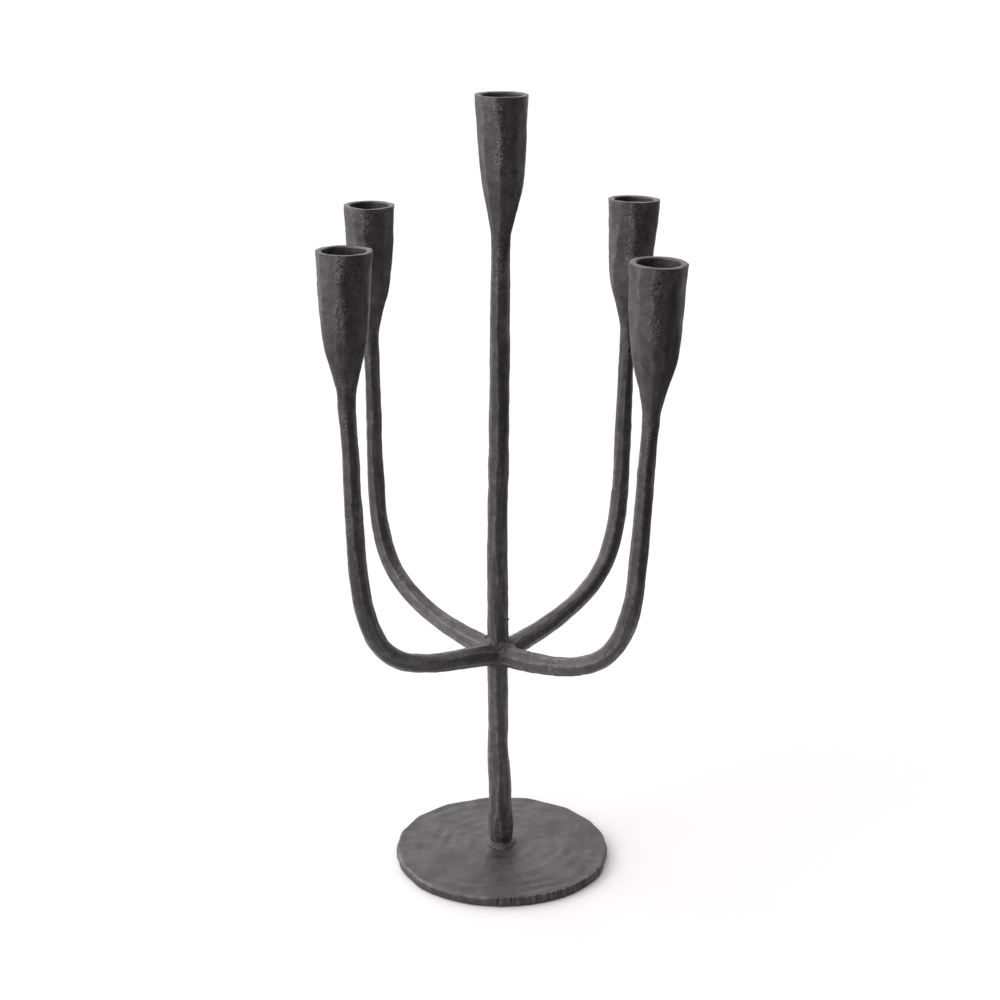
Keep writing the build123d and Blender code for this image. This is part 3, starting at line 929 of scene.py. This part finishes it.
def blackened_iron(name, tone, relief, dullness):
    """Waxed black iron: mottled scale with brown in its hollows, rubbed ridges and the painted highlight on
    the plate's edge, pits and a satin sheen.
    """
    material, tree, shader = new_material(name)
    place = add_node(tree, "ShaderNodeTexCoord").outputs["Object"]
    worn_and_painted_highlight = add_node(tree, "ShaderNodeAttribute", attribute_name="wear_and_painted_highlight").outputs["Fac"]
    pitted = add_node(tree, "ShaderNodeAttribute", attribute_name="pitted").outputs["Fac"]
    clouds = grain(tree, place, 24 * MM, 4)
    blotches = grain(tree, place, 11 * MM, 4)
    scale = grain(tree, place, 5 * MM, 5)
    specks = grain(tree, place, 0.9 * MM, 5, 0.65)
    mottle = calc(tree, "ADD", calc(tree, "MULTIPLY", scale, 0.45), calc(tree, "MULTIPLY", specks, 0.55))
    dark, light, brown, bare = (
        tuple(tone * part for part in colour) + (1,)
        for colour in (SCALE_DARK, SCALE_LIGHT, SCALE_BROWN, BARE_METAL)
    )

    colour = mix(tree, ramp(tree, mottle, 0.4, 0.59), dark, light)
    colour = mix(tree, ramp(tree, clouds, 0.5, 0.7, 0, 0.6), colour, brown)
    colour = mix(tree, ramp(tree, blotches, 0.4, 0.58, 0.5, 0.0), colour, dark)
    flecks = calc(tree, "MULTIPLY", pitted, ramp(tree, specks, 0.52, 0.68))
    # Bare metal where the wear is high: rubbed ridges and edges, and along the plate's front-left edge a
    # painted highlight.
    rubbed_and_painted_highlight = calc(tree, "MULTIPLY", worn_and_painted_highlight, ramp(tree, mottle, 0.38, 0.6, 0.0, 0.42))
    rubbed_and_painted_highlight = calc(tree, "MAXIMUM", rubbed_and_painted_highlight, calc(tree, "MULTIPLY", flecks, 0.85))
    tree.links.new(mix(tree, rubbed_and_painted_highlight, colour, bare), shader.inputs["Base Color"])

    roughness = ramp(tree, specks, 0.3, 0.7, dullness - 0.07, dullness + 0.12)
    roughness = calc(tree, "ADD", roughness, ramp(tree, blotches, 0.4, 0.6, 0.1, 0.0))
    roughness = calc(tree, "SUBTRACT", roughness, calc(tree, "MULTIPLY", rubbed_and_painted_highlight, 0.12))
    tree.links.new(roughness, shader.inputs["Roughness"])
    shader.inputs["Metallic"].default_value = 0.15
    shader.inputs["Specular IOR Level"].default_value = 0.55

    cells = add_node(tree, "ShaderNodeTexVoronoi", {"Vector": place, "Scale": 1 / (1.1 * MM)})
    pits = calc(tree, "MULTIPLY", ramp(tree, cells.outputs["Distance"], 0.1, 0.5), pitted)
    height = calc(tree, "ADD", calc(tree, "MULTIPLY", pits, 1.2), specks)
    height = calc(tree, "ADD", height, calc(tree, "MULTIPLY", scale, 1.5))
    set_bump(tree, shader, height, relief, 0.3 * MM)
    return material


def black_felt():
    """Short black felt."""
    material, tree, shader = new_material("black_felt")
    place = add_node(tree, "ShaderNodeTexCoord").outputs["Object"]
    fibres = grain(tree, place, 0.5 * MM, 6, 0.7)
    tree.links.new(mix(tree, fibres, FELT_DARK, FELT_LIGHT), shader.inputs["Base Color"])
    shader.inputs["Roughness"].default_value = 0.95
    shader.inputs["Sheen Weight"].default_value = 0.4
    set_bump(tree, shader, fibres, 0.8, 0.2 * MM)
    return material


def floor_white():
    """Plain matt white."""
    material, _, shader = new_material("floor_white")
    shader.inputs["Base Color"].default_value = (FLOOR_GREY, FLOOR_GREY, FLOOR_GREY, 1)
    shader.inputs["Roughness"].default_value = 0.9
    shader.inputs["Specular IOR Level"].default_value = 0.1
    return material


# --- Studio ----------------------------------------------------------------------------------------
def add_light(name, place, size, power):
    """A soft square light that faces the middle of the studio."""
    data = bpy.data.lights.new(name, "AREA")
    data.shape = "SQUARE"
    data.size = size
    data.energy = power
    data.color = STUDIO_TINT
    light = bpy.data.objects.new(name, data)
    bpy.context.scene.collection.objects.link(light)
    light.location = place
    light.rotation_euler = (Vector(STUDIO_MIDDLE) - Vector(place)).to_track_quat("-Z", "Y").to_euler()


def make_floor():
    """A small round white floor; past its edge the camera sees the white world."""
    mesh = bpy.data.meshes.new("floor")
    turns = np.linspace(0, 2 * pi, FLOOR_SIDES, False)
    corners = [(FLOOR_RADIUS * cos(turn), FLOOR_RADIUS * sin(turn), 0) for turn in turns]
    mesh.from_pydata(corners, [], [list(range(FLOOR_SIDES))])
    floor = bpy.data.objects.new("floor", mesh)
    bpy.context.scene.collection.objects.link(floor)
    mesh.materials.append(floor_white())


def glow_from(tree, way, direction, spread, strength):
    """Soft light from one part of the dome: none past the spread, full at its middle."""
    facing = add_node(tree, "ShaderNodeVectorMath", {0: way, 1: unit(direction)}, operation="DOT_PRODUCT")
    return ramp(tree, facing.outputs["Value"], cos(spread), 1.0, 0.0, strength)


def make_dome():
    """A world that the camera sees as white, and that lights from above, the left and behind."""
    world = bpy.data.worlds.new("studio_white")
    world.use_nodes = True
    tree = world.node_tree
    background = tree.nodes["Background"]
    background.inputs["Color"].default_value = (*STUDIO_TINT, 1)
    way = add_node(tree, "ShaderNodeTexCoord").outputs["Generated"]
    glow = DOME_GLOW
    for direction, spread, strength in DOME_LIGHTS:
        glow = calc(tree, "ADD", glow, glow_from(tree, way, direction, spread, strength))
    seen = add_node(tree, "ShaderNodeLightPath").outputs["Is Camera Ray"]
    strength = calc(tree, "MAXIMUM", glow, calc(tree, "MULTIPLY", seen, WHITE_TO_CAMERA))
    tree.links.new(strength, background.inputs["Strength"])
    bpy.context.scene.world = world


def make_camera():
    """A long lens a little above the object, at its front."""
    data = bpy.data.cameras.new("camera")
    data.lens = CAMERA_LENS
    data.sensor_width = CAMERA_SENSOR
    camera = bpy.data.objects.new("camera", data)
    bpy.context.scene.collection.objects.link(camera)
    camera.location = CAMERA_PLACE
    camera.rotation_euler = (CAMERA_TILT, 0, 0)
    bpy.context.scene.camera = camera


# --- The scene -------------------------------------------------------------------------------------
stem = make_stem()
arms = {name: make_arm(name, seed_for("arm", k), stem[0]) for k, name in enumerate(BRANCHES)}
for k, cup_name in enumerate(["centre"] + BRANCHES):
    make_cup(cup_name, seed_for("cup", k))
    make_neck_weld(cup_name, seed_for("neck_weld", k))
make_base()
make_felt()
make_hub_weld(arms, stem)
make_foot_weld(stem)

finishes = {
    "bar_iron": blackened_iron("hammered_bar_iron", tone=1.1, relief=0.8, dullness=0.40),
    "cup_iron": blackened_iron("faceted_cup_iron", tone=1.3, relief=0.75, dullness=0.42),
    "base_iron": blackened_iron("rippled_base_iron", tone=0.78, relief=0.7, dullness=0.37),
    # The welds' tone is lower than the bars': painted shade, standing in for the darker creases where the
    # arms meet the stem.
    "weld_iron": blackened_iron("weld_metal_iron", tone=0.9, relief=1.0, dullness=0.42),
    "felt": black_felt(),
}
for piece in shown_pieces():
    piece.data.materials.clear()
    piece.data.materials.append(finishes[piece["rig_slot"]])

make_floor()
make_dome()
for light_name, (place, size, power) in SOFT_LIGHTS.items():
    add_light(light_name, place, size, power)
make_camera()
bpy.context.scene.view_settings.view_transform = "Standard"
